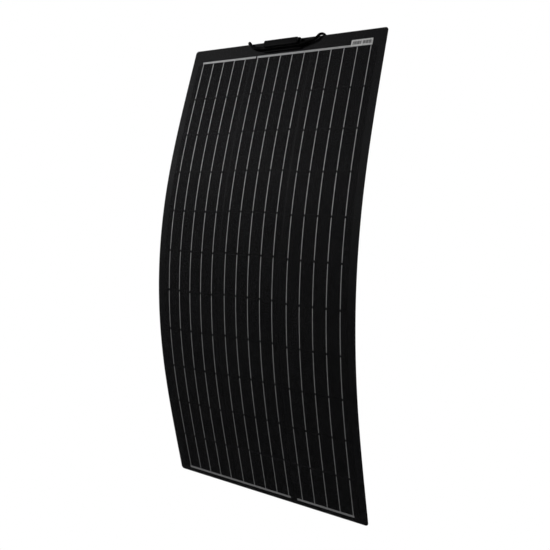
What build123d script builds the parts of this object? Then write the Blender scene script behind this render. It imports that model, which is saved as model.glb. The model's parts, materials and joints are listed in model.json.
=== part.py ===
"""Flexible solar sheet: 33 cells in three strings, a junction box on the front and two lead cables.

+X is the sheet's width, +Z is up and the sunny front faces -Y.  The origin is the centre of the
middle row's flat back face.  The sheet is bowed about X, its middle forward, and it bends at the
gaps between its rows of rigid cells, so each row is a flat slab on hinge lines at mid thickness.
"""

import os
from math import cos, pi, radians, sin, tan

from build123d import *

# ---------------------------------------------------------------- driving dimensions, in mm
ROWS = 11
MIDDLE_ROW = 6
STRINGS = 3
BUSBARS = 5                     # on each cell
BUSBAR_PITCH = 31.35            # five-busbar cell, 156.75 wide
CELL_WIDTH = BUSBARS * BUSBAR_PITCH
CELL_HEIGHT = 92.0
ROW_PITCH = 93.8
STRING_GAP = 4.55
STRING_PITCH = CELL_WIDTH + STRING_GAP

SHEET_WIDTH = 514.0
TOP_EDGE = 87.0                 # from the middle of the top row up to the sheet's edge
BOTTOM_EDGE = 65.0              # from the middle of the bottom row down to the sheet's edge
CORNER_RADIUS = 7.0
BEND_GAP = 0.3                  # between the slabs when the sheet is flat

BACK_THICKNESS = 1.1
FILM_THICKNESS = 1.4
SHEET_THICKNESS = BACK_THICKNESS + FILM_THICKNESS
CELL_THICKNESS = 0.3
CELL_TOP = BACK_THICKNESS + CELL_THICKNESS
RIBBON_THICKNESS = 0.25
RIBBON_WIDTH = 1.5
RIBBON_INSET = 3.5              # bare cell at the end where the ribbon comes up from behind
BUS_WIDTH = 5.0
BUS_THICKNESS = 0.35
BUS_FROM_CELL = 4.6             # cell edge to the middle of the bus ribbon
BUS_OVERHANG = 2.0              # bus ribbon past the last cell ribbon that it joins
TOP_BUS_BREAK = 4.0             # gap between the left and the middle string at the top
BOTTOM_BUS_PAST = 5.0           # left bus ribbon past the middle string at the bottom
BOTTOM_BUS_EARLY = 14.0         # right bus ribbon's start before the right-hand string's first ribbon
RETURN_WIDTH = 4.0              # insulated lead behind the right-hand string
RETURN_THICKNESS = 0.2

# Bend at each row gap as drawn, in degrees, from the middle outwards
BEND_STEPS = (5.5, 5.0, 3.9, 2.2, 0.8)

LABEL_WIDTH = 50.0
LABEL_HEIGHT = 16.0
LABEL_THICKNESS = 0.2
LABEL_CORNER = 1.0
LABEL_PAST_RIBBON = 3.0         # label's right end past the last ribbon
LABEL_ABOVE_BUS = 5.5           # label's middle above the bus ribbon's

BOX_ABOVE_ROW = 72.5            # middle of the junction box above the middle of the top row
BOX_TO_RIGHT = 3.4              # and right of the sheet's middle
PAD_LENGTH = 86.0
PAD_DEPTH = 20.0
PAD_THICKNESS = 0.8
PAD_CORNER = 3.0
SKIRT_LENGTH = 104.0
SKIRT_DEPTH = 27.0
SKIRT_DROP = 1.2                # skirt's middle below the box's, for a wider lower ledge
SKIRT_HEIGHT = 2.6
SKIRT_CORNER = 5.0
SKIRT_CHAMFER = 1.1
BODY_LENGTH = 98.0
BODY_DEPTH = 20.0
BODY_HEIGHT = 10.5              # from the pad, like the skirt
BODY_CORNER = 3.0
BODY_ROUNDING = 1.6
FLOOR_THICKNESS = 1.8
CAVITY_LENGTH = 80.0
CAVITY_DEPTH = 11.0
GASKET_THICKNESS = 0.8
GASKET_WIDTH = 1.8
LID_LENGTH = 90.0
LID_DEPTH = 16.0
LID_HEIGHT = 5.2
LID_CORNER = 2.5
LID_ROUNDING = 1.4
LIP_DEPTH = 2.5                 # the lid's lip that reaches into the body
LIP_THICKNESS = 1.5
LIP_CLEARANCE = 0.2

TERMINAL_SPACING = 60.0
TERMINAL_FOOT = (12.0, 8.0, 1.0)
TERMINAL_CLIP = (6.0, 5.0, 3.0)
DIODE_SPACING = 24.0
DIODE_SIZE = (11.0, 6.0, 3.2)
DIODE_CORNER = 1.0

CABLE_DIAMETER = 6.0
BOOT_LEAN = {-1: 8.0, 1: 14.0}  # left and right boots, degrees up from the box's long axis
BOOT_LENGTH = 26.0
BOOT_COLLAR = 2.0               # straight length at the root
BOOT_ROOT_RADIUS = 5.0
BOOT_TIP_RADIUS = 3.8
BOOT_INSERT = 4.0
BOOT_DROP = 6.0                 # boots' mouths below the box's middle
BOOT_RINGS = 4                  # flex slots
RING_START = 8.5
RING_PITCH = 4.0
RING_WIDTH = 1.4
RING_DEPTH = 0.9
CABLE_HEIGHT = 5.5              # cable axis above the sheet's front face at the boots
CABLE_STRAIGHT = 14.0           # cable's run in line with its boot, past the tip
ARC_SHARE = 0.45                # how much of a run one of the arcs at its ends may take

CONNECTOR_RADIUS = 8.0
SHELL_LENGTH = 30.0
BAND_HEIGHT = 1.2               # grip band round each shell
BAND_WIDTH = 3.0
BAND_PLACE = 12.0
NUT_RADIUS = 9.2
NUT_LENGTH = 16.0
NUT_TAPER = 5.0                 # length of the cone at the cable's end
NUT_THROAT = 5.0                # radius of the cone at the cable's end
NUT_SHOULDER = 8.2              # and at its other end
NUT_SIDES = 12
PIN_RADIUS = 5.0                # tubular housing round the plug's pin
PIN_BORE_RADIUS = 3.0
PIN_LENGTH = 12.0
SOCKET_BORE_RADIUS = 5.3
SOCKET_BORE_DEPTH = 14.0
CATCH_SIZE = (1.8, 4.5, 14.0)   # the plug's two side catches
CATCH_SPACING = 13.4
NOTCH_SIZE = (2.4, 6.0, 9.0)    # the socket's two side notches
NOTCH_PLACE = 20.0


# ---------------------------------------------------------------- where each row lies
def row_tilt(row):
    """Backward lean of a row in degrees: positive above the middle row, negative below it."""
    away = row - MIDDLE_ROW
    lean = sum(BEND_STEPS[:abs(away)])
    return -lean if away > 0 else lean


def along(row):
    """Unit vector up the sheet in this row."""
    tilt = radians(row_tilt(row))
    return Vector(0, sin(tilt), cos(tilt))


def outward(row):
    """Unit vector out of the sheet's front in this row."""
    tilt = radians(row_tilt(row))
    return Vector(0, -cos(tilt), sin(tilt))


def row_middle(row):
    """Middle of the row at mid thickness."""
    place = Vector(0, -SHEET_THICKNESS / 2, 0)
    step = 1 if row > MIDDLE_ROW else -1
    here = MIDDLE_ROW
    while here != row:
        place = place - along(here) * (step * ROW_PITCH / 2) - along(here + step) * (step * ROW_PITCH / 2)
        here += step
    return place


def row_plane(row, height=0.0):
    """Plane of a row at a height above its back face: x is the width, y is up the sheet."""
    origin = row_middle(row) + outward(row) * (height - SHEET_THICKNESS / 2)
    return Plane(origin=origin, x_dir=(1, 0, 0), z_dir=outward(row))


def slab_span(row):
    """Lower and upper ends of a row's slab, measured from the middle of the row."""
    top = TOP_EDGE if row == 1 else (ROW_PITCH - BEND_GAP) / 2
    bottom = BOTTOM_EDGE if row == ROWS else (ROW_PITCH - BEND_GAP) / 2
    return -bottom, top


def string_x(string):
    return (string - (STRINGS - 1) / 2) * STRING_PITCH


def busbar_xs(string):
    return [string_x(string) + (i - (BUSBARS - 1) / 2) * BUSBAR_PITCH for i in range(BUSBARS)]


def write(part, name):
    part.label = name
    export_step(part, f"parts/{name}.step")


# ---------------------------------------------------------------- shapes that several parts share
def slab_outline(row):
    """Outline of a row's slab, with the sheet's rounded corners on the end rows."""
    low, high = slab_span(row)
    with BuildSketch(row_plane(row)) as outline:
        with Locations((0, (low + high) / 2)):
            Rectangle(SHEET_WIDTH, high - low)
        if row == 1:
            fillet(outline.vertices(Select.ALL).sort_by(Axis.Z)[-2:], CORNER_RADIUS)
        if row == ROWS:
            fillet(outline.vertices(Select.ALL).sort_by(Axis.Z)[:2], CORNER_RADIUS)
    return outline


def bus_spans(row):
    """(middle height, [(left x, right x), ...]) of the bus ribbons in an end row."""
    left, middle, right = (busbar_xs(string) for string in range(STRINGS))
    reach = CELL_HEIGHT / 2 + BUS_FROM_CELL
    start, stop = left[0] - BUS_OVERHANG, right[-1] + BUS_OVERHANG
    if row == 1:
        restart = middle[0] - BUS_OVERHANG
        return reach, [(start, restart - TOP_BUS_BREAK), (restart, stop)]
    return -reach, [(start, middle[-1] + BOTTOM_BUS_PAST), (right[0] - BOTTOM_BUS_EARLY, stop)]


def ribbon_span(row, string):
    """Ends of a cell's front ribbons: the middle string runs the other way up."""
    low, high = -CELL_HEIGHT / 2, CELL_HEIGHT / 2 - RIBBON_INSET
    if string == 1:
        low, high = -high, -low
    if row == 1:
        high = CELL_HEIGHT / 2 + BUS_FROM_CELL - BUS_WIDTH / 2
    if row == ROWS:
        low = -(CELL_HEIGHT / 2 + BUS_FROM_CELL - BUS_WIDTH / 2)
    return low, high


def ribbon_rectangles(row):
    for string in range(STRINGS):
        low, high = ribbon_span(row, string)
        for x in busbar_xs(string):
            with Locations((x, (low + high) / 2)):
                Rectangle(RIBBON_WIDTH, high - low)


def bus_rectangles(row):
    height, spans = bus_spans(row)
    for left, right in spans:
        with Locations(((left + right) / 2, height)):
            Rectangle(right - left, BUS_WIDTH)


def return_rectangle(row):
    low, high = slab_span(row)
    low = -(CELL_HEIGHT / 2 + BUS_FROM_CELL) if row == ROWS else low
    high = CELL_HEIGHT / 2 if row == 1 else high
    with Locations((string_x(2), (low + high) / 2)):
        Rectangle(RETURN_WIDTH, high - low)


# ---------------------------------------------------------------- the laminated sheet, row by row
def build_row(row):
    outline = slab_outline(row)

    with BuildPart() as back_sheet:
        extrude(outline.sketch, amount=BACK_THICKNESS)
        with BuildSketch(row_plane(row, BACK_THICKNESS)):
            return_rectangle(row)
        extrude(amount=-RETURN_THICKNESS, mode=Mode.SUBTRACT)
    write(back_sheet.part, f"back_sheet_row_{row:02d}")

    with BuildPart() as cells:
        with BuildSketch(row_plane(row, BACK_THICKNESS)):
            with GridLocations(STRING_PITCH, 1, STRINGS, 1):
                Rectangle(CELL_WIDTH, CELL_HEIGHT)
        extrude(amount=CELL_THICKNESS)
    write(cells.part, f"cells_row_{row:02d}")

    with BuildPart() as ribbons:
        with BuildSketch(row_plane(row, CELL_TOP)):
            ribbon_rectangles(row)
        extrude(amount=RIBBON_THICKNESS)
        with BuildSketch(row_plane(row, BACK_THICKNESS)):
            return_rectangle(row)
        extrude(amount=-RETURN_THICKNESS)
    write(ribbons.part, f"cell_ribbons_row_{row:02d}")

    with BuildPart() as film:
        extrude(outline.sketch, amount=SHEET_THICKNESS)
        extrude(outline.sketch, amount=BACK_THICKNESS, mode=Mode.SUBTRACT)
        with BuildSketch(row_plane(row, BACK_THICKNESS)):
            with GridLocations(STRING_PITCH, 1, STRINGS, 1):
                Rectangle(CELL_WIDTH, CELL_HEIGHT)
        extrude(amount=CELL_THICKNESS, mode=Mode.SUBTRACT)
        with BuildSketch(row_plane(row, CELL_TOP)):
            ribbon_rectangles(row)
        extrude(amount=RIBBON_THICKNESS, mode=Mode.SUBTRACT)
        if row in (1, ROWS):
            with BuildSketch(row_plane(row, CELL_TOP)):
                bus_rectangles(row)
            extrude(amount=BUS_THICKNESS, mode=Mode.SUBTRACT)
    write(film.part, f"front_film_row_{row:02d}")


def build_bus(row, name):
    with BuildPart() as bus:
        with BuildSketch(row_plane(row, CELL_TOP)):
            bus_rectangles(row)
        extrude(amount=BUS_THICKNESS)
    write(bus.part, name)


def build_label():
    reach = CELL_HEIGHT / 2 + BUS_FROM_CELL
    right = busbar_xs(STRINGS - 1)[-1] + LABEL_PAST_RIBBON
    with BuildPart() as label:
        with BuildSketch(row_plane(1, SHEET_THICKNESS)):
            with Locations((right - LABEL_WIDTH / 2, reach + LABEL_ABOVE_BUS)):
                RectangleRounded(LABEL_WIDTH, LABEL_HEIGHT, LABEL_CORNER)
        extrude(amount=LABEL_THICKNESS)
    write(label.part, "rating_label")


# ---------------------------------------------------------------- the junction box
def box_plane(height):
    """Plane of the junction box at a height above the sheet's front face."""
    middle = row_plane(1, SHEET_THICKNESS + height).origin
    origin = middle + along(1) * BOX_ABOVE_ROW + Vector(BOX_TO_RIGHT, 0, 0)
    return Plane(origin=origin, x_dir=(1, 0, 0), z_dir=outward(1))


BODY_TOP = PAD_THICKNESS + BODY_HEIGHT
FLOOR_TOP = PAD_THICKNESS + FLOOR_THICKNESS
GASKET_TOP = BODY_TOP + GASKET_THICKNESS


def outer_face(part):
    """The face of a box part that is furthest out of the sheet's front."""
    return part.faces().sort_by(lambda face: face.center().dot(outward(1)))[-1]


def boot_axis(side, start):
    """Plane across the cable boot, start mm from the box's end face along the boot."""
    lean = radians(BOOT_LEAN[side])
    frame = box_plane(CABLE_HEIGHT)
    heading = frame.x_dir * (side * cos(lean)) + frame.y_dir * sin(lean)
    mouth = frame.origin + frame.x_dir * (side * BODY_LENGTH / 2) - frame.y_dir * BOOT_DROP
    return Plane(origin=mouth + heading * start, x_dir=outward(1), z_dir=heading)


def build_box():
    with BuildPart() as pad:
        with BuildSketch(box_plane(0)):
            RectangleRounded(PAD_LENGTH, PAD_DEPTH, PAD_CORNER)
        extrude(amount=PAD_THICKNESS)
    write(pad.part, "box_adhesive_pad")

    with BuildPart() as base:
        with BuildSketch(box_plane(PAD_THICKNESS)):
            with Locations((0, -SKIRT_DROP)):
                RectangleRounded(SKIRT_LENGTH, SKIRT_DEPTH, SKIRT_CORNER)
        extrude(amount=SKIRT_HEIGHT)
        chamfer(outer_face(base).edges(), SKIRT_CHAMFER)
        with BuildSketch(box_plane(PAD_THICKNESS)):
            RectangleRounded(BODY_LENGTH, BODY_DEPTH, BODY_CORNER)
        extrude(amount=BODY_HEIGHT)
        fillet(outer_face(base).edges(), BODY_ROUNDING)
        with BuildSketch(box_plane(BODY_TOP)):
            Rectangle(CAVITY_LENGTH, CAVITY_DEPTH)
        extrude(amount=FLOOR_THICKNESS - BODY_HEIGHT, mode=Mode.SUBTRACT)
    write(base.part, "junction_box_base")

    with BuildPart() as gasket:
        with BuildSketch(box_plane(BODY_TOP)):
            Rectangle(CAVITY_LENGTH + 2 * GASKET_WIDTH, CAVITY_DEPTH + 2 * GASKET_WIDTH)
            Rectangle(CAVITY_LENGTH, CAVITY_DEPTH, mode=Mode.SUBTRACT)
        extrude(amount=GASKET_THICKNESS)
    write(gasket.part, "lid_gasket")

    lip_length = CAVITY_LENGTH - 2 * LIP_CLEARANCE
    lip_width = CAVITY_DEPTH - 2 * LIP_CLEARANCE
    with BuildPart() as lid:
        with BuildSketch(box_plane(GASKET_TOP)):
            RectangleRounded(LID_LENGTH, LID_DEPTH, LID_CORNER)
        extrude(amount=LID_HEIGHT)
        fillet(outer_face(lid).edges(), LID_ROUNDING)
        with BuildSketch(box_plane(GASKET_TOP)):
            Rectangle(lip_length, lip_width)
            Rectangle(lip_length - 2 * LIP_THICKNESS, lip_width - 2 * LIP_THICKNESS, mode=Mode.SUBTRACT)
        extrude(amount=-LIP_DEPTH)
    write(lid.part, "junction_box_lid")

    with BuildPart() as terminals:
        height = FLOOR_TOP
        for length, depth, rise in (TERMINAL_FOOT, TERMINAL_CLIP):
            with BuildSketch(box_plane(height)):
                with GridLocations(TERMINAL_SPACING, 1, 2, 1):
                    Rectangle(length, depth)
            extrude(amount=rise)
            height += rise
    write(terminals.part, "terminal_clips")

    with BuildPart() as diodes:
        length, depth, rise = DIODE_SIZE
        with BuildSketch(box_plane(FLOOR_TOP)):
            with GridLocations(DIODE_SPACING, 1, 2, 1):
                RectangleRounded(length, depth, DIODE_CORNER)
        extrude(amount=rise)
    write(diodes.part, "bypass_diodes")


def build_boot(side, name):
    with BuildPart() as boot:
        for start, radius in (
            (-BOOT_INSERT, BOOT_ROOT_RADIUS),
            (BOOT_COLLAR, BOOT_ROOT_RADIUS),
            (BOOT_LENGTH, BOOT_TIP_RADIUS),
        ):
            with BuildSketch(boot_axis(side, start)):
                Circle(radius)
        loft(ruled=True)
        # Flex slots as shallow rings
        taper = (BOOT_ROOT_RADIUS - BOOT_TIP_RADIUS) / (BOOT_LENGTH - BOOT_COLLAR)
        for ring in range(BOOT_RINGS):
            start = RING_START + RING_PITCH * ring
            radius = BOOT_ROOT_RADIUS - taper * (start - BOOT_COLLAR)
            with BuildSketch(boot_axis(side, start)):
                Circle(BOOT_ROOT_RADIUS)
                Circle(radius - RING_DEPTH, mode=Mode.SUBTRACT)
            extrude(amount=RING_WIDTH, mode=Mode.SUBTRACT)
    write(boot.part, name)


# ---------------------------------------------------------------- the lead cables
# Corners of each lead's route after it leaves its boot, as (outwards, up the top row, out of the
# front face) from the boot's mouth: up past the sheet's top edge, back over it and down behind.
OVER_EDGE = ((51.0, 25.5, 7.0), (58.0, 35.0, -12.0), (55.0, 34.5, -36.0), (47.0, 3.5, -62.0))

# Then steps of (outwards, backwards, up) while it hangs loose behind the sheet
HANG = (
    (2.0, 2.0, -54.0),
    (3.5, 1.0, -64.0),
    (3.0, -2.5, -68.0),
    (1.0, -4.0, -72.0),
    (-2.0, -3.0, -74.0),
    (-4.0, -1.0, -76.0),
    (-4.0, 1.5, -74.0),
    (-2.0, 2.0, -72.0),
    (0.0, 1.0, -70.0),
    (1.0, 0.0, -66.0),
)


def cable_route(side):
    """Centreline points of one lead, from its boot's tip to its connector."""
    mouth, tip, straight_end = (
        boot_axis(side, distance).origin for distance in (0, BOOT_LENGTH, BOOT_LENGTH + CABLE_STRAIGHT)
    )
    points = [tip, straight_end]
    for out, up, front in OVER_EDGE:
        points.append(mouth + Vector(side * out, 0, 0) + along(1) * up + outward(1) * front)
    for out, back, up in HANG:
        points.append(points[-1] + Vector(side * out, back, up))
    return points


def corner_radii(points):
    """The largest arc that each corner's two runs allow."""
    radii = []
    for before, corner, after in zip(points, points[1:], points[2:]):
        first, second = corner - before, after - corner
        turn = radians(first.get_angle(second))
        radii.append(ARC_SHARE * min(first.length, second.length) / tan(turn / 2))
    return radii


def build_cable(side, name):
    points = cable_route(side)
    radii = corner_radii(points)
    with BuildPart() as cable:
        with BuildLine() as route:
            FilletPolyline(*points, radius=radii)
        with BuildSketch(boot_axis(side, BOOT_LENGTH)):
            Circle(CABLE_DIAMETER / 2)
        sweep(path=route.wires()[0])
    length = route.wires()[0].length
    section = pi * (CABLE_DIAMETER / 2) ** 2
    print(name, "length", round(length), "radii", [round(r) for r in radii])
    print(name, "volume", round(cable.part.volume), "section x length", round(section * length))
    for point in points:
        print("   ", tuple(round(v, 1) for v in point))
    write(cable.part, name)


def hanging_plane(side, below):
    """Plane across the cable's end, below mm under it, facing down."""
    end = cable_route(side)[-1]
    return Plane(origin=end - Vector(0, 0, below), x_dir=(1, 0, 0), z_dir=(0, 0, -1))


def build_nuts():
    """Gland nut at the back of each connector."""
    with BuildPart() as nuts:
        for side in (-1, 1):
            with BuildSketch(hanging_plane(side, 0)):
                Circle(NUT_THROAT)
            with BuildSketch(hanging_plane(side, NUT_TAPER)):
                Circle(NUT_SHOULDER)
            loft()
            with BuildSketch(hanging_plane(side, NUT_TAPER)):
                RegularPolygon(NUT_RADIUS, NUT_SIDES)
            extrude(amount=NUT_LENGTH - NUT_TAPER)
    write(nuts.part, "connector_gland_nuts")


def shell_steps(side, length):
    """(plane, radius, length) of a lead connector's round shell and of the grip band on it."""
    return (
        (hanging_plane(side, NUT_LENGTH), CONNECTOR_RADIUS, length),
        (hanging_plane(side, NUT_LENGTH + BAND_PLACE), CONNECTOR_RADIUS + BAND_HEIGHT, BAND_WIDTH),
    )


def build_plug():
    """Lead connector with a tubular pin housing, on the left lead."""
    side = -1
    mouth = NUT_LENGTH + SHELL_LENGTH
    with BuildPart() as plug:
        for plane, radius, reach in shell_steps(side, SHELL_LENGTH):
            with BuildSketch(plane):
                Circle(radius)
            extrude(amount=reach)
        with BuildSketch(hanging_plane(side, mouth)):
            Circle(PIN_RADIUS)
            Circle(PIN_BORE_RADIUS, mode=Mode.SUBTRACT)
        extrude(amount=PIN_LENGTH)
        width, depth, reach = CATCH_SIZE
        with BuildSketch(hanging_plane(side, mouth)):
            with GridLocations(CATCH_SPACING, 1, 2, 1):
                Rectangle(width, depth)
        extrude(amount=reach)
    write(plug.part, "lead_plug")


def build_socket():
    """Lead connector with an open sleeve that the plug's pin housing enters, on the right lead."""
    side = 1
    length = SHELL_LENGTH + PIN_LENGTH
    with BuildPart() as socket:
        for plane, radius, reach in shell_steps(side, length):
            with BuildSketch(plane):
                Circle(radius)
            extrude(amount=reach)
        with BuildSketch(hanging_plane(side, NUT_LENGTH + length)):
            Circle(SOCKET_BORE_RADIUS)
        extrude(amount=-SOCKET_BORE_DEPTH, mode=Mode.SUBTRACT)
        width, depth, reach = NOTCH_SIZE
        with BuildSketch(hanging_plane(side, NUT_LENGTH + NOTCH_PLACE)):
            with GridLocations(2 * CONNECTOR_RADIUS, 1, 2, 1):
                Rectangle(width, depth)
        extrude(amount=reach, mode=Mode.SUBTRACT)
    write(socket.part, "lead_socket")


os.makedirs("parts", exist_ok=True)
for row in range(1, ROWS + 1):
    build_row(row)
build_bus(1, "top_bus_ribbons")
build_bus(ROWS, "bottom_bus_ribbons")
build_label()
build_box()
for side, name in ((-1, "left"), (1, "right")):
    build_boot(side, f"cable_boot_{name}")
    build_cable(side, f"cable_{name}")
build_nuts()
build_plug()
build_socket()
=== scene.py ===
"""Looks of the flexible solar sheet: curved film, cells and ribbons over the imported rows,
lead cables, procedural materials, a pale studio and the camera."""

import json
from math import atan2, cos, radians, sin, sqrt, tan

import bpy
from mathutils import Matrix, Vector


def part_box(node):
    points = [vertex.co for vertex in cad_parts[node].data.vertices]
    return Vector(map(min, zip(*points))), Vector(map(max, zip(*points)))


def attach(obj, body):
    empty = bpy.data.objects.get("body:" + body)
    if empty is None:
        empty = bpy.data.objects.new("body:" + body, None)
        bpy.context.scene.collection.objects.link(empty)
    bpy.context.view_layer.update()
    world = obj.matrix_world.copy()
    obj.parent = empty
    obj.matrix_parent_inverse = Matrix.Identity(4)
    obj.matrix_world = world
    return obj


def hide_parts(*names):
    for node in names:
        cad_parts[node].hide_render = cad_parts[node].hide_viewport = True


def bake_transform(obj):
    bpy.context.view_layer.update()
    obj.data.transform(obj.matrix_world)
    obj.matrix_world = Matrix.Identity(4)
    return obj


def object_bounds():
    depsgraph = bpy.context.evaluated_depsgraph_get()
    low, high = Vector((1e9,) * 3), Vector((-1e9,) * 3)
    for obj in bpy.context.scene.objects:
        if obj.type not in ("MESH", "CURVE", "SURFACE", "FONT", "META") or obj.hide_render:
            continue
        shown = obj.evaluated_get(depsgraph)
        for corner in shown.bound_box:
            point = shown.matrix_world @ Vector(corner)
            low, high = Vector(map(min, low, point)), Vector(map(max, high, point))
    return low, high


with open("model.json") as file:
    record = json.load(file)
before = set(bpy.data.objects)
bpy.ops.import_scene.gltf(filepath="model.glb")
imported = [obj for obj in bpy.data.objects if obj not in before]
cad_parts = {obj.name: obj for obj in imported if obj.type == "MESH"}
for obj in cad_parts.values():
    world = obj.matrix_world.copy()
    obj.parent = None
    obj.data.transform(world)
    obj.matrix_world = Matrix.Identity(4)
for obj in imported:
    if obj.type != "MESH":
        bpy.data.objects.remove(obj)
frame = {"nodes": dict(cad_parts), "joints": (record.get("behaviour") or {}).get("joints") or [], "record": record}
CAD_BOUNDS = [list(corner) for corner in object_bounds()]
MM = 0.001

# ---------------------------------------------------------------- the sheet's sizes
ROWS = 11
MIDDLE_ROW = 6
STRINGS = 3
MIDDLE_STRING = 1               # strings are numbered 0, 1, 2 from the left
BUSBARS = 5
BUSBAR_PITCH = 31.35 * MM
RIBBON_WIDTH = 1.5 * MM
RIBBON_INSET = 3.5 * MM         # bare cell at the end where a ribbon comes up from behind
RIBBON_TO_BUS = 2.5 * MM        # from an end ribbon's tip to the middle of its bus ribbon
RIBBON_GAP = 0.1 * MM           # between the ribbons and the film over them
CORNER_RADIUS = 7.0 * MM
RIM = 6.0 * MM                  # sealed border where the film meets the back sheet
RIM_TAPER = RIM / 3             # the film's underside rises over this width inside the rim
RIM_GAP = 0.02 * MM             # between the rim and the back sheet
EDGE_ROUND = 0.35 * MM
SHARP_ANGLE = 35                # edges that turn more than these degrees stay sharp
CURVE_STEPS = 28                # stations along one bend
STRAIGHT_STEPS = 6              # stations along the straight part of an end row
CORNER_STEPS = 10


def depth_range(node):
    """Heights of a middle-row node above the sheet's back face."""
    low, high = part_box(node)
    return -high.y, -low.y


BACK_LOW, BACK_HIGH = depth_range("back_sheet_row_06")
CELL_LOW, CELL_HIGH = depth_range("cells_row_06")
RIBBON_HIGH = depth_range("cell_ribbons_row_06")[1]
FILM_HIGH = depth_range("front_film_row_06")[1]
FILM_LOW = RIBBON_HIGH + RIBBON_GAP
MID = FILM_HIGH / 2
HALF_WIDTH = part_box("front_film_row_06")[1].x
CELL_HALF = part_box("cells_row_06")[1].z
STRING_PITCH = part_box("cells_row_06")[1].x - BUSBARS * BUSBAR_PITCH / 2

# ---------------------------------------------------------------- the smooth curve through the rows
HINGES = sorted((Vector(j["pos_m"]) for j in frame["joints"]), key=lambda place: -place.z)
END_BEND = {j["child"]: radians(j["range_deg"][1]) for j in frame["joints"]}
# The hinges above and below the middle row are one row apart
PITCH = (HINGES[MIDDLE_ROW - 2] - HINGES[MIDDLE_ROW - 1]).length


def up_sheet(tilt):
    return Vector((0, sin(tilt), cos(tilt)))


def out_of_front(tilt):
    return Vector((0, -cos(tilt), sin(tilt)))


def row_tilts():
    """Backward lean of each row, keyed by row number."""
    tilts = {}
    for row in range(2, ROWS):
        rise = HINGES[row - 2] - HINGES[row - 1]
        tilts[row] = atan2(rise.y, rise.z)
    tilts[1] = tilts[2] + END_BEND["row_01"]
    tilts[ROWS] = tilts[ROWS - 1] - END_BEND[f"row_{ROWS}"]
    return tilts


TILTS = row_tilts()


def row_middle(row):
    """Middle of a row at mid thickness."""
    if row == ROWS:
        return HINGES[-1] - up_sheet(TILTS[row]) * PITCH / 2
    return HINGES[row - 1] + up_sheet(TILTS[row]) * PITCH / 2


def edge_reach(row):
    """How far the sheet's own end lies from the middle of an end row."""
    tilt, middle = TILTS[row], row_middle(row)
    if row == 1:
        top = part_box("front_film_row_01")[1].z
        return (top - middle.z - MID * sin(tilt)) / cos(tilt)
    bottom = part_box(f"front_film_row_{ROWS}")[0].z
    return (middle.z + MID * sin(tilt) - bottom) / cos(tilt)


def on_sheet(distance, height):
    """Point at a distance down the sheet and a height above its back.

    The distance counts rows from the middle of row 1.  Between two row middles the sheet is an
    arc that touches both rows; beyond the end rows' middles it is straight."""
    rise = height - MID
    row = min(max(int(distance) + 1, 1), ROWS)
    if distance <= 0 or row == ROWS:
        row = 1 if distance <= 0 else ROWS
        down = up_sheet(TILTS[row]) * (row - 1 - distance) * PITCH
        return row_middle(row) + down + out_of_front(TILTS[row]) * rise
    bend = TILTS[row] - TILTS[row + 1]
    radius = PITCH / 2 / tan(bend / 2)
    centre = row_middle(row) - out_of_front(TILTS[row]) * radius
    tilt = TILTS[row] - bend * (distance - (row - 1))
    return centre + out_of_front(tilt) * (radius + rise)


# ---------------------------------------------------------------- mesh building
def slab_mesh(spans):
    """Points, faces and flattened places of closed slabs swept down the sheet.

    Each span is (stations, profile).  Stations are distances down the sheet, and
    profile(station) gives a ring of (x, height) points."""
    points, faces, flat = [], [], []
    for stations, profile in spans:
        start = len(points)
        count = len(profile(stations[0]))
        for station in stations:
            for x, height in profile(station):
                points.append(Vector((x, 0, 0)) + on_sheet(station, height))
                flat.append((x, -station * PITCH))
        last = start + (len(stations) - 1) * count
        for ring in range(start, last, count):
            for i in range(count):
                j = (i + 1) % count
                faces.append((ring + i, ring + j, ring + count + j, ring + count + i))
        faces.append(tuple(range(start + count - 1, start - 1, -1)))
        faces.append(tuple(range(last, last + count)))
    return points, faces, flat


def sweep_profile(name, spans):
    """One piece made of the spans' slabs, with its flattened places kept for the materials."""
    points, faces, flat = slab_mesh(spans)
    mesh = bpy.data.meshes.new(name)
    mesh.from_pydata(points, [], faces)
    layer = mesh.uv_layers.new(name="flat")
    for loop in mesh.loops:
        layer.data[loop.index].uv = flat[loop.vertex_index]
    mesh.shade_smooth()
    mesh.set_sharp_from_angle(angle=radians(SHARP_ANGLE))
    piece = bpy.data.objects.new(name, mesh)
    bpy.context.scene.collection.objects.link(piece)
    return piece


def evenly(start, stop, steps):
    return [start + (stop - start) * i / steps for i in range(steps + 1)]


def box_profile(left, right, low, high):
    return lambda station: [(left, low), (left, high), (right, high), (right, low)]


def half_width_at(station):
    """The sheet's half width, drawn in at its four rounded corners."""
    if station < 0:
        into = CORNER_RADIUS - (edge_reach(1) + station * PITCH)
    elif station > ROWS - 1:
        into = CORNER_RADIUS - (edge_reach(ROWS) - (station - ROWS + 1) * PITCH)
    else:
        return HALF_WIDTH
    if into <= 0:
        return HALF_WIDTH
    return HALF_WIDTH - CORNER_RADIUS + sqrt(max(CORNER_RADIUS ** 2 - into ** 2, 0))


def back_profile(station):
    half = half_width_at(station)
    return box_profile(-half, half, BACK_LOW, BACK_HIGH)(station)


def film_profile(station):
    """Film section: thin over the cells, down to the back sheet round the rim, its edges eased."""
    half = half_width_at(station)
    from_top = station * PITCH + edge_reach(1)
    from_bottom = (ROWS - 1 - station) * PITCH + edge_reach(ROWS)
    share = min(max((min(from_top, from_bottom) - RIM) / RIM_TAPER, 0), 1)
    rim_low = BACK_HIGH + RIM_GAP
    inner = rim_low + (FILM_LOW - rim_low) * share
    return [
        (-half, rim_low),
        (-half, FILM_HIGH - EDGE_ROUND),
        (-half + EDGE_ROUND, FILM_HIGH),
        (half - EDGE_ROUND, FILM_HIGH),
        (half, FILM_HIGH - EDGE_ROUND),
        (half, rim_low),
        (half - RIM, rim_low),
        (half - RIM - RIM_TAPER, inner),
        (-half + RIM + RIM_TAPER, inner),
        (-half + RIM, rim_low),
    ]


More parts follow.
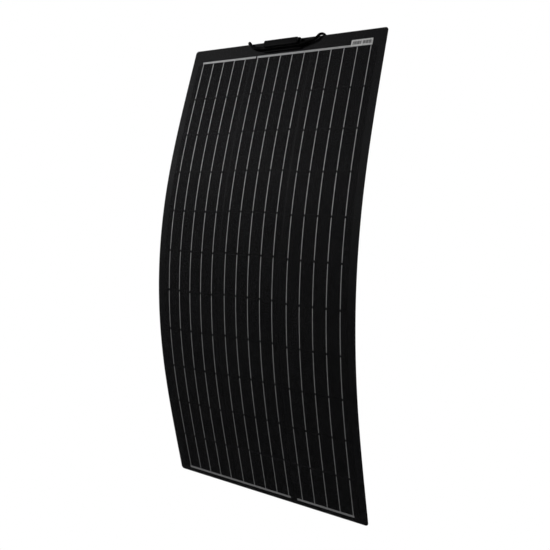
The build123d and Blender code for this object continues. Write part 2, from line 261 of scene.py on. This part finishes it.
def end_stations(row):
    """Stations from an end row's middle to the sheet's edge, close together at the corner."""
    reach = edge_reach(row)
    straight = evenly(0, reach - RIM - RIM_TAPER, STRAIGHT_STEPS)
    turns = evenly(0, radians(90), CORNER_STEPS)
    corner = [reach - CORNER_RADIUS * (1 - sin(turn)) for turn in turns]
    distances = sorted(set(straight + [reach - RIM] + corner))
    if row == 1:
        return [-d / PITCH for d in reversed(distances)]
    return [ROWS - 1 + d / PITCH for d in distances]


def string_x(string):
    return (string - MIDDLE_STRING) * STRING_PITCH


def busbar_xs(string):
    first = string_x(string) - (BUSBARS - 1) / 2 * BUSBAR_PITCH
    return [first + i * BUSBAR_PITCH for i in range(BUSBARS)]


def ribbon_reach(row, string, upwards):
    """How far ribbons run from the row's middle; the middle string runs the other way up."""
    if row == 1 and upwards or row == ROWS and not upwards:
        low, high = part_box("top_bus_ribbons" if row == 1 else "bottom_bus_ribbons")
        bus_middle = ((low + high) / 2 - row_middle(row)).dot(up_sheet(TILTS[row]))
        return abs(bus_middle) - RIBBON_TO_BUS
    inset = upwards != (string == MIDDLE_STRING)
    return CELL_HALF - (RIBBON_INSET if inset else 0)


def half_stations(row, reach, downwards):
    """Stations from a row's middle as far as a reach, up or down, in order down the sheet."""
    middle, share = row - 1, reach / PITCH
    start, stop = (middle, middle + share) if downwards else (middle - share, middle)
    return evenly(start, stop, CURVE_STEPS // 2)


def half_cell_spans(row, downwards):
    """Sweep spans of a row's three half cells on one side of its middle."""
    half = BUSBARS * BUSBAR_PITCH / 2
    stations = half_stations(row, CELL_HALF, downwards)
    middles = [string_x(string) for string in range(STRINGS)]
    return [(stations, box_profile(x - half, x + half, CELL_LOW, CELL_HIGH)) for x in middles]


def half_ribbon_spans(row, downwards):
    """Sweep spans of a row's fifteen half ribbons on one side of its middle."""
    half = RIBBON_WIDTH / 2
    spans = []
    for string in range(STRINGS):
        reach = ribbon_reach(row, string, not downwards)
        stations = half_stations(row, reach, downwards)
        for x in busbar_xs(string):
            spans.append((stations, box_profile(x - half, x + half, CELL_HIGH, RIBBON_HIGH)))
    return spans


# Each swept layer's material slot
LAYERS = {
    "back_sheet": "back_sheet",
    "cells": "cell",
    "cell_ribbons": "ribbon",
    "front_film": "front_film",
}


def layer_spans(layer, rows):
    """Sweep spans of one layer: between two rows' middles, or from an end row's to the edge."""
    if len(rows) == 2:
        upper, lower = rows
        stations = evenly(upper - 1, lower - 1, CURVE_STEPS)
        halves = ((upper, True), (lower, False))
    else:
        stations = end_stations(rows[0])
        halves = ((rows[0], rows[0] == ROWS),)
    if layer == "back_sheet":
        return [(stations, back_profile)]
    if layer == "front_film":
        return [(stations, film_profile)]
    half_spans = half_cell_spans if layer == "cells" else half_ribbon_spans
    return [span for row, downwards in halves for span in half_spans(row, downwards)]


def lay_sheet(materials):
    """The laminated sheet: end pieces ride on their row, the others bend between two rows."""
    spreads = [(1,)] + [(row, row + 1) for row in range(1, ROWS)] + [(ROWS,)]
    for layer, slot in LAYERS.items():
        for rows in spreads:
            label = "_".join(f"{row:02d}" for row in rows)
            kind = "end" if len(rows) == 1 else "bend"
            piece = sweep_profile(f"{layer}_{kind}_{label}", layer_spans(layer, rows))
            piece.data.materials.append(materials[slot])
            if len(rows) == 1:
                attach(piece, f"row_{rows[0]:02d}")
            else:
                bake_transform(piece)
            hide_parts(*(f"{layer}_row_{row:02d}" for row in rows))


# ---------------------------------------------------------------- lead cables
CABLE_DIAMETER = 6.0 * MM
# Each lead's route in mm, from its boot's tip up past the sheet's top edge, back over it and down
OVER_EDGE = {
    "cable_left": (
        (-71.3, 103.5, 526.9),
        (-79.1, 103.8, 528.0),
        (-90.9, 109.5, 545.4),
        (-101.9, 121.0, 544.4),
        (-95.9, 142.9, 540.3),
        (-92.0, 150.6, 517.7),
        (-94.6, 164.6, 454.3),
    ),
    "cable_right": (
        (77.6, 104.3, 529.5),
        (88.6, 105.1, 532.1),
        (95.8, 108.6, 543.5),
        (102.8, 117.4, 545.3),
        (101.2, 130.2, 542.4),
        (107.0, 166.5, 521.0),
        (101.4, 164.6, 454.3),
    ),
}
# Then steps of (outwards, backwards, up) in mm while it hangs loose behind the sheet
HANG = (
    (3.5, 1.0, -64.0),
    (3.0, -2.5, -68.0),
    (1.0, -4.0, -72.0),
    (-2.0, -3.0, -74.0),
    (-4.0, -1.0, -76.0),
    (-4.0, 1.5, -74.0),
    (-2.0, 2.0, -72.0),
    (0.0, 1.0, -70.0),
    (1.0, 0.0, -66.0),
)


def cable_route(name, side):
    """Route of a lead in metres; side is -1 for the left lead and 1 for the right."""
    points = [Vector(place) for place in OVER_EDGE[name]]
    for out, back, up in HANG:
        points.append(points[-1] + Vector((side * out, back, up)))
    return [point * MM for point in points]


def lay_cable(name, side, material):
    route = cable_route(name, side)
    curve = bpy.data.curves.new(name, "CURVE")
    curve.dimensions = "3D"
    spline = curve.splines.new("NURBS")
    spline.points.add(len(route) - 1)
    for point, place in zip(spline.points, route):
        point.co = (*place, 1)
    spline.order_u = 3
    spline.use_endpoint_u = True
    spline.resolution_u = 12
    curve.bevel_depth = CABLE_DIAMETER / 2
    curve.bevel_resolution = 5
    curve.use_fill_caps = True
    curve.materials.append(material)
    cable = bpy.data.objects.new(f"{name}_flex", curve)
    bpy.context.scene.collection.objects.link(cable)
    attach(cable, "row_01")
    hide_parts(name)


# ---------------------------------------------------------------- materials
# Sockets of a Mix node: its factor, its two colours and their mixture, its two numbers
FACTOR, FIRST_COLOUR, SECOND_COLOUR, MIXTURE = 0, 6, 7, 2
FIRST_NUMBER, SECOND_NUMBER = 2, 3


class Surface:
    """A Principled material and short ways to wire its nodes."""

    def __init__(self, name, **values):
        self.material = bpy.data.materials.new(name)
        self.material.use_nodes = True
        self.nodes = self.material.node_tree.nodes
        self.links = self.material.node_tree.links
        self.shader = self.nodes["Principled BSDF"]
        for socket, value in values.items():
            self.shader.inputs[socket.replace("_", " ")].default_value = value

    def node(self, kind, settings=None, **inputs):
        made = self.nodes.new(kind)
        for key, value in (settings or {}).items():
            setattr(made, key, value)
        for key, value in inputs.items():
            self.feed(made.inputs[key.replace("_", " ")], value)
        return made

    def feed(self, socket, value):
        if isinstance(value, bpy.types.NodeSocket):
            self.links.new(value, socket)
        else:
            socket.default_value = value

    def math(self, operation, *values):
        made = self.nodes.new("ShaderNodeMath")
        made.operation = operation
        for socket, value in zip(made.inputs, values):
            self.feed(socket, value)
        return made.outputs[0]

    def flat_place(self):
        """The flattened sheet's coordinates in metres."""
        return self.node("ShaderNodeUVMap", {"uv_map": "flat"}).outputs[0]

    def flat_xy(self):
        """Across and along the flattened sheet, in millimetres."""
        across, along, _ = self.node("ShaderNodeSeparateXYZ", Vector=self.flat_place()).outputs
        return self.math("DIVIDE", across, MM), self.math("DIVIDE", along, MM)

    def object_place(self):
        return self.node("ShaderNodeTexCoord").outputs["Object"]

    def noise(self, place, scale, detail=4):
        made = self.node("ShaderNodeTexNoise", Vector=place, Scale=scale, Detail=detail)
        return made.outputs["Fac"]

    def spread(self, value, low, high, from_low=0.3, from_high=0.7):
        """A noise's usual range stretched to run from low to high."""
        limits = {"From Min": from_low, "From Max": from_high, "To Min": low, "To Max": high}
        return self.node("ShaderNodeMapRange", Value=value, **limits).outputs[0]

    def colours(self, factor, first, second):
        """Two plain colours mixed by a varying factor."""
        made = self.node("ShaderNodeMix", {"data_type": "RGBA"})
        self.feed(made.inputs[FACTOR], factor)
        made.inputs[FIRST_COLOUR].default_value = (*first, 1)
        made.inputs[SECOND_COLOUR].default_value = (*second, 1)
        return made.outputs[MIXTURE]

    def over(self, factor, ground, colour):
        """A plain colour laid over a varying ground where the factor says so."""
        made = self.node("ShaderNodeMix", {"data_type": "RGBA"})
        self.feed(made.inputs[FACTOR], factor)
        self.feed(made.inputs[FIRST_COLOUR], ground)
        made.inputs[SECOND_COLOUR].default_value = (*colour, 1)
        return made.outputs[MIXTURE]

    def near(self, value, middle, reach):
        """1 where a value is less than a reach from a middle, else 0."""
        offset = self.math("ABSOLUTE", self.math("SUBTRACT", value, middle))
        return self.math("LESS_THAN", offset, reach)

    def stripe(self, value, period, width):
        """1 inside lines of a width that repeat with a period, else 0."""
        cycle = self.math("FRACT", self.math("DIVIDE", value, period))
        return self.near(cycle, 0.5, width / period / 2)

    def wave(self, value, turn):
        """A sine wave of so many radians per unit of the value."""
        return self.math("SINE", self.math("MULTIPLY", value, turn))

    def bump(self, height, strength, distance):
        made = self.node("ShaderNodeBump", Height=height, Strength=strength, Distance=distance)
        self.links.new(made.outputs[0], self.shader.inputs["Normal"])

    def set(self, socket, value):
        self.feed(self.shader.inputs[socket], value)


def film_material():
    """Clear embossed film: small raised diamonds and a faint uneven haze."""
    s = Surface("embossed_film", Alpha=0.12, IOR=1.42, Specular_IOR_Level=0.03)
    emboss_turn = 2.2           # radians per millimetre along each diagonal
    x, y = s.flat_xy()
    diagonal = s.wave(s.math("ADD", x, y), emboss_turn)
    counter = s.wave(s.math("SUBTRACT", x, y), emboss_turn)
    haze = s.noise(s.flat_place(), scale=45)
    clear, hazy = (0.02, 0.02, 0.021), (0.03, 0.03, 0.032)
    s.set("Base Color", s.colours(s.spread(haze, 0, 1), clear, hazy))
    s.set("Roughness", s.spread(haze, 0.5, 0.62))
    s.bump(s.math("MULTIPLY", diagonal, counter), strength=0.25, distance=0.12 * MM)
    return s.material


def cell_material():
    """Dark silicon: pyramid-etched grain, slow clouds of tone and hair-thin silver fingers."""
    s = Surface("dark_silicon", IOR=1.5, Specular_IOR_Level=0.015)
    finger_pitch, finger_width = 1.6, 0.07      # millimetres
    _, y = s.flat_xy()
    fingers = s.stripe(y, finger_pitch, finger_width)
    grain = s.noise(s.flat_place(), scale=2600, detail=2)
    cloud = s.noise(s.flat_place(), scale=9, detail=3)
    dark, light, silver = (0.0063, 0.0063, 0.0065), (0.0097, 0.0097, 0.01), (0.14, 0.14, 0.15)
    silicon = s.colours(s.spread(cloud, 0, 1), dark, light)
    s.set("Base Color", s.over(fingers, silicon, silver))
    s.set("Roughness", s.spread(grain, 0.42, 0.58))
    s.bump(grain, strength=0.2, distance=0.02 * MM)
    return s.material


def ribbon_material(name, dark, light):
    """Tinned copper with streaks drawn along the sheet."""
    s = Surface(name, Metallic=0.3)
    stretch = 0.06
    place = s.node("ShaderNodeMapping", Vector=s.object_place(), Scale=(1, 1, stretch))
    streaks = s.noise(place.outputs[0], scale=1500, detail=3)
    s.set("Base Color", s.colours(s.spread(streaks, 0, 1), dark, light))
    s.set("Roughness", s.spread(streaks, 0.55, 0.72))
    s.bump(streaks, strength=0.15, distance=0.03 * MM)
    return s.material


def back_material():
    """Black glass-fibre back sheet with a fine plain weave."""
    s = Surface("woven_back_sheet", IOR=1.45, Specular_IOR_Level=0.15)
    weave_turn = 5.2            # radians per millimetre
    x, y = s.flat_xy()
    weave = s.math("MULTIPLY", s.wave(x, weave_turn), s.wave(y, weave_turn))
    patches = s.noise(s.flat_place(), scale=14)
    dark, light = (0.006, 0.006, 0.007), (0.012, 0.012, 0.013)
    s.set("Base Color", s.colours(s.spread(patches, 0, 1), dark, light))
    s.set("Roughness", s.spread(patches, 0.5, 0.66))
    s.bump(weave, strength=0.22, distance=0.1 * MM)
    return s.material


def moulded_material(name, dark, light, rough, grain_size, relief, gloss=0.2):
    """Moulded plastic or rubber: spark-eroded grain, slow colour drift and scuffs.

    The grain's size and relief are in millimetres."""
    s = Surface(name, IOR=1.48, Specular_IOR_Level=gloss)
    rough_swing, scuff_share = 0.07, 0.25
    place = s.object_place()
    grain = s.noise(place, scale=1 / (grain_size * MM), detail=3)
    drift = s.noise(place, scale=30)
    scuffs = s.spread(s.noise(place, scale=260, detail=6), 0, 1, from_low=0.6, from_high=0.75)
    tone = s.colours(s.spread(drift, 0, 1), dark, light)
    worn = tuple(3 * value + 0.004 for value in light)
    s.set("Base Color", s.over(s.math("MULTIPLY", scuffs, scuff_share), tone, worn))
    s.set("Roughness", s.spread(grain, rough - rough_swing, rough + rough_swing))
    s.bump(grain, strength=0.35, distance=relief * MM)
    return s.material


def label_material():
    """Pale sticker with two blocks of plain dark bars in place of print.

    All lengths are shares of the sticker's width or height."""
    s = Surface("sticker")
    bar_pitch, bar_width, bar_slant = 0.07, 0.055, 0.09
    block_pitch, block_width, block_shift = 0.48, 0.42, 0.46
    line_middle, line_reach, print_reach = 0.52, 0.24, 0.44
    low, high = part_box("rating_label")
    place = s.node("ShaderNodeSeparateXYZ", Vector=s.object_place())
    x = s.math("DIVIDE", s.math("SUBTRACT", place.outputs[0], low.x), high.x - low.x)
    z = s.math("DIVIDE", s.math("SUBTRACT", place.outputs[2], low.z), high.z - low.z)
    bars = s.stripe(s.math("ADD", x, s.math("MULTIPLY", z, bar_slant)), bar_pitch, bar_width)
    blocks = s.stripe(s.math("ADD", x, block_shift), block_pitch, block_width)
    line = s.near(z, line_middle, line_reach)
    inside = s.near(x, 0.5, print_reach)
    printed = s.math("MULTIPLY", s.math("MULTIPLY", bars, line), s.math("MULTIPLY", blocks, inside))
    speck = s.noise(s.object_place(), scale=320)
    paper = s.colours(s.spread(speck, 0, 1), (0.55, 0.55, 0.55), (0.8, 0.8, 0.79))
    ink, ink_share = (0.045, 0.045, 0.045), 0.9
    s.set("Base Color", s.over(s.math("MULTIPLY", printed, ink_share), paper, ink))
    s.set("Roughness", s.spread(speck, 0.4, 0.5))
    s.bump(speck, strength=0.1, distance=0.03 * MM)
    return s.material


JET = (0.0008, 0.0008, 0.0008)
BLACK = (0.0022, 0.0022, 0.0024)
SOOT = (0.005, 0.005, 0.0053)
# Moulded parts by slot: name, dark and light colour, roughness, grain size and relief in
# millimetres, and gloss where it isn't the usual
MOULDED = {
    "box_plastic": ("box_plastic", BLACK, SOOT, 0.45, 0.6, 0.06, 0.05),
    "boot": ("boot_rubber", JET, BLACK, 0.6, 0.8, 0.08, 0.05),
    "cable": ("cable_jacket", JET, BLACK, 0.55, 1.1, 0.05, 0.05),
    "connector": ("connector_polyamide", BLACK, (0.014, 0.014, 0.014), 0.4, 0.7, 0.06),
    "gasket": ("gasket_silicone", (0.02, 0.02, 0.02), (0.03, 0.03, 0.03), 0.6, 1.0, 0.04),
    "pad": ("foam_pad", (0.01, 0.01, 0.01), (0.02, 0.02, 0.02), 0.8, 0.9, 0.1),
    "diode": ("diode_epoxy", (0.012, 0.012, 0.012), (0.02, 0.02, 0.02), 0.5, 0.7, 0.04),
}
# Tinned metal by slot: name, dark and light colour
TINNED = {
    "ribbon": ("tinned_ribbon", (0.58, 0.58, 0.59), (0.78, 0.78, 0.78)),
    "bus": ("tinned_bus", (0.38, 0.38, 0.39), (0.68, 0.68, 0.68)),
    "terminal": ("tinned_terminal", (0.5, 0.49, 0.46), (0.7, 0.69, 0.66)),
}


def make_materials():
    made = {
        "front_film": film_material(),
        "cell": cell_material(),
        "back_sheet": back_material(),
        "label": label_material(),
    }
    made.update({slot: moulded_material(*look) for slot, look in MOULDED.items()})
    made.update({slot: ribbon_material(*look) for slot, look in TINNED.items()})
    return made


def paint_cad_nodes(materials):
    """Every CAD node takes its record slot's material; the bus ribbons take a duller tin."""
    for entry in frame["record"]["subparts"]:
        node = frame["nodes"][entry["node"]]
        slot = "bus" if "bus_ribbons" in entry["node"] else entry["material_slot"]
        node.data.materials.clear()
        node.data.materials.append(materials[slot])


# ---------------------------------------------------------------- studio and camera
LENS = 41.08                            # millimetres, on a 36 mm sensor
LENS_SHIFT = -0.089
CAMERA_PLACE = (0.764, -1.1335, 0.1463)
CAMERA_TURN = (88.6, -1.97, 31.74)      # degrees
# The world's light fades from bright overhead to dim below, between two heights of a unit ray
DIM, BRIGHT = 0.03, 0.18
DIM_HEIGHT, BRIGHT_HEIGHT = -0.25, 0.9
FLOOR_REACH, FLOOR_DROP = 30.0, 0.4     # metres
FLOOR_GREY = 0.35
# Each light's name, place, target, size in metres and power in watts
LIGHTS = (
    ("key", (-1.25, -1.4, 1.25), (-0.1, 0.05, 0.0), 0.5, 23.5),
    ("fill", (1.8, -1.4, 0.9), (0, 0, 0), 1.2, 1),
    ("back", (0.9, 1.7, 1.3), (0, 0, 0.1), 1.2, 32),
)


def make_world():
    """White to the eye; for light, bright overhead and dim at the horizon and below."""
    world = bpy.data.worlds.new("studio")
    bpy.context.scene.world = world
    world.use_nodes = True
    nodes, links = world.node_tree.nodes, world.node_tree.links
    background = nodes["Background"]
    place = nodes.new("ShaderNodeTexCoord")
    split = nodes.new("ShaderNodeSeparateXYZ")
    height = nodes.new("ShaderNodeMapRange")
    height.inputs["From Min"].default_value = DIM_HEIGHT
    height.inputs["From Max"].default_value = BRIGHT_HEIGHT
    height.inputs["To Min"].default_value = DIM
    height.inputs["To Max"].default_value = BRIGHT
    seen = nodes.new("ShaderNodeLightPath")
    choose = nodes.new("ShaderNodeMix")
    choose.data_type = "FLOAT"
    choose.inputs[SECOND_NUMBER].default_value = 1.0
    links.new(place.outputs["Generated"], split.inputs[0])
    links.new(split.outputs[2], height.inputs["Value"])
    links.new(seen.outputs["Is Camera Ray"], choose.inputs[FACTOR])
    links.new(height.outputs[0], choose.inputs[FIRST_NUMBER])
    links.new(choose.outputs[0], background.inputs["Strength"])
    background.inputs["Color"].default_value = (1, 1, 1, 1)


def floor_material():
    """White to the eye, soft grey to everything else."""
    material = bpy.data.materials.new("pale_floor")
    material.use_nodes = True
    nodes, links = material.node_tree.nodes, material.node_tree.links
    nodes.clear()
    seen = nodes.new("ShaderNodeLightPath")
    grey = nodes.new("ShaderNodeBsdfDiffuse")
    grey.inputs["Color"].default_value = (FLOOR_GREY, FLOOR_GREY, FLOOR_GREY, 1)
    white = nodes.new("ShaderNodeEmission")
    choose = nodes.new("ShaderNodeMixShader")
    output = nodes.new("ShaderNodeOutputMaterial")
    links.new(seen.outputs["Is Camera Ray"], choose.inputs[0])
    links.new(grey.outputs[0], choose.inputs[1])
    links.new(white.outputs[0], choose.inputs[2])
    links.new(choose.outputs[0], output.inputs[0])
    return material


def make_floor():
    """Plain pale floor well below the sheet."""
    mesh = bpy.data.meshes.new("floor")
    z = CAD_BOUNDS[0][2] - FLOOR_DROP
    signs = ((-1, -1), (1, -1), (1, 1), (-1, 1))
    corners = [(x * FLOOR_REACH, y * FLOOR_REACH, z) for x, y in signs]
    mesh.from_pydata(corners, [], [(0, 1, 2, 3)])
    mesh.materials.append(floor_material())
    floor = bpy.data.objects.new("floor", mesh)
    bpy.context.scene.collection.objects.link(floor)


def add_softbox(name, place, target, size, energy):
    light = bpy.data.lights.new(name, "AREA")
    light.size = size
    light.energy = energy
    lamp = bpy.data.objects.new(name, light)
    lamp.location = place
    lamp.rotation_euler = (Vector(target) - Vector(place)).to_track_quat("-Z", "Y").to_euler()
    bpy.context.scene.collection.objects.link(lamp)


def add_camera():
    data = bpy.data.cameras.new("camera")
    data.sensor_width = 36
    data.lens = LENS
    data.shift_y = LENS_SHIFT
    camera = bpy.data.objects.new("camera", data)
    camera.location = CAMERA_PLACE
    camera.rotation_euler = [radians(angle) for angle in CAMERA_TURN]
    bpy.context.scene.collection.objects.link(camera)
    bpy.context.scene.camera = camera


bpy.context.scene.view_settings.view_transform = "Standard"
materials = make_materials()
paint_cad_nodes(materials)
lay_sheet(materials)
lay_cable("cable_left", -1, materials["cable"])
lay_cable("cable_right", 1, materials["cable"])
make_world()
make_floor()
for light in LIGHTS:
    add_softbox(*light)
add_camera()
